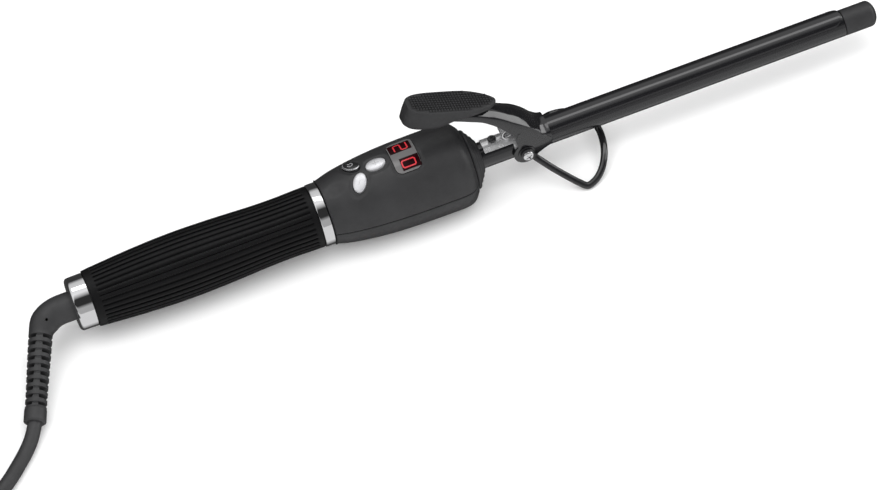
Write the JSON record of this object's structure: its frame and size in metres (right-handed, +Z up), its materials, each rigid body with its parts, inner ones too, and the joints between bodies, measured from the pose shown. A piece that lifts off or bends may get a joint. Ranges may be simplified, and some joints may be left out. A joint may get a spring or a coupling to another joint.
{
  "type": "curling iron",
  "caption": "Spring-clip hair curling iron: slim black barrel with hinged clip and wire stand, round housing with display and keys, ribbed grip, turning cord.",
  "frame": {"origin": "on the surface the iron stands on, under the middle of the iron from its rear cap to its tip, without the cord and its strain relief", "axes": "+X along the barrel towards its tip, +Z up, on the clip's side, +Y to the left of someone looking along +X"},
  "size_m": [0.62, 0.1266, 0.074],
  "materials": {
    "soft_touch_grey": "soft-touch paint, fine even texture",
    "grip_rubber": "matt, lengthwise ribs",
    "strap_fabric": "woven hook-and-loop strap",
    "black_enamel": "glossy black ceramic coating",
    "chrome": "polished",
    "plated_steel": "bright plated, stamped",
    "silver_plastic": "metallic lacquer, fine grain",
    "black_plastic": "glossy moulded",
    "display_window": "smoked, polished",
    "display_red": "lit red digits on black",
    "board_green": "solder mask",
    "inner_plastic": "moulded",
    "heater_ceramic": "unglazed",
    "aluminium": "extruded",
    "brass": "bright",
    "nickel": "nickel plated",
    "cord_black": "satin moulded vinyl",
    "lead_white": "silicone sleeve"
  },
  "bodies": {
    "handle": {"upper_housing": "soft_touch_grey", "lower_housing": "soft_touch_grey", "front_collar": "soft_touch_grey", "tip_cap": "soft_touch_grey", "grip_sleeve": "grip_rubber", "cord_tie": "strap_fabric", "barrel_tube": "black_enamel", "rear_cap": "chrome", "front_ring": "chrome", "pivot_screw_near": "chrome", "pivot_screw_far": "chrome", "clip_spring": "chrome", "pivot_bracket": "plated_steel", "bracket_screw": "plated_steel", "housing_screw_near": "plated_steel", "housing_screw_far": "plated_steel", "pivot_washer_near": "black_plastic", "pivot_washer_far": "black_plastic", "display_lens": "display_window", "display_module": "display_red", "circuit_board": "board_green", "grip_core": "inner_plastic", "swivel_retainer": "inner_plastic", "power_switch": "inner_plastic", "plus_switch": "inner_plastic", "minus_switch": "inner_plastic", "heater_strip": "heater_ceramic", "barrel_bush": "heater_ceramic", "temperature_sensor": "heater_ceramic", "heater_shoe_upper": "aluminium", "heater_shoe_lower": "aluminium", "slip_contact_front": "brass", "slip_contact_rear": "brass", "plug_blade_near": "nickel", "plug_blade_far": "nickel", "cord_lead": "cord_black", "cord_coil": "cord_black", "cord_tail": "cord_black", "plug_body": "cord_black", "heater_lead_near": "lead_white", "heater_lead_far": "lead_white", "supply_lead_near": "lead_white", "supply_lead_far": "lead_white"},
    "clip": {"clip_blade": "black_enamel", "clip_lever": "black_enamel", "thumb_pad": "soft_touch_grey"},
    "stand": {"stand_bail": "black_enamel"},
    "swivel": {"strain_relief": "cord_black", "swivel_hub": "inner_plastic", "slip_ring_front": "brass", "slip_ring_rear": "brass"},
    "power_key": {"power_button": "black_plastic"},
    "plus_key": {"plus_button": "silver_plastic"},
    "minus_key": {"minus_button": "silver_plastic"}
  },
  "joints": [
    {"name": "clip_hinge", "type": "hinge", "parent": "handle", "child": "clip", "pos_m": [0.022, 0, 0.0202], "axis": [0, -1, 0], "range_deg": [0, 18], "stiffness_Nm_per_rad": 0.4, "springref_deg": -17.19, "deforming": ["clip_spring"]},
    {"name": "stand_hinge", "type": "hinge", "parent": "handle", "child": "stand", "pos_m": [0.022, 0, 0.0202], "axis": [0, 1, 0], "range_deg": [-4, 120]},
    {"name": "cord_swivel", "type": "hinge", "parent": "handle", "child": "swivel", "pos_m": [-0.2073, 0, 0.0202], "axis": [-1, 0, 0], "continuous": true},
    {"name": "power_press", "type": "slide", "parent": "handle", "child": "power_key", "axis": [0.1317, -0.2803, -0.9508], "range_m": [0, 0.0008], "stiffness_N_per_m": 500, "springref_m": -0.0005},
    {"name": "plus_press", "type": "slide", "parent": "handle", "child": "plus_key", "axis": [0.0584, 0, -0.9983], "range_m": [0, 0.0008], "stiffness_N_per_m": 500, "springref_m": -0.0005},
    {"name": "minus_press", "type": "slide", "parent": "handle", "child": "minus_key", "axis": [0.1149, 0.299, -0.9473], "range_m": [0, 0.0008], "stiffness_N_per_m": 500, "springref_m": -0.0005}
  ]
}
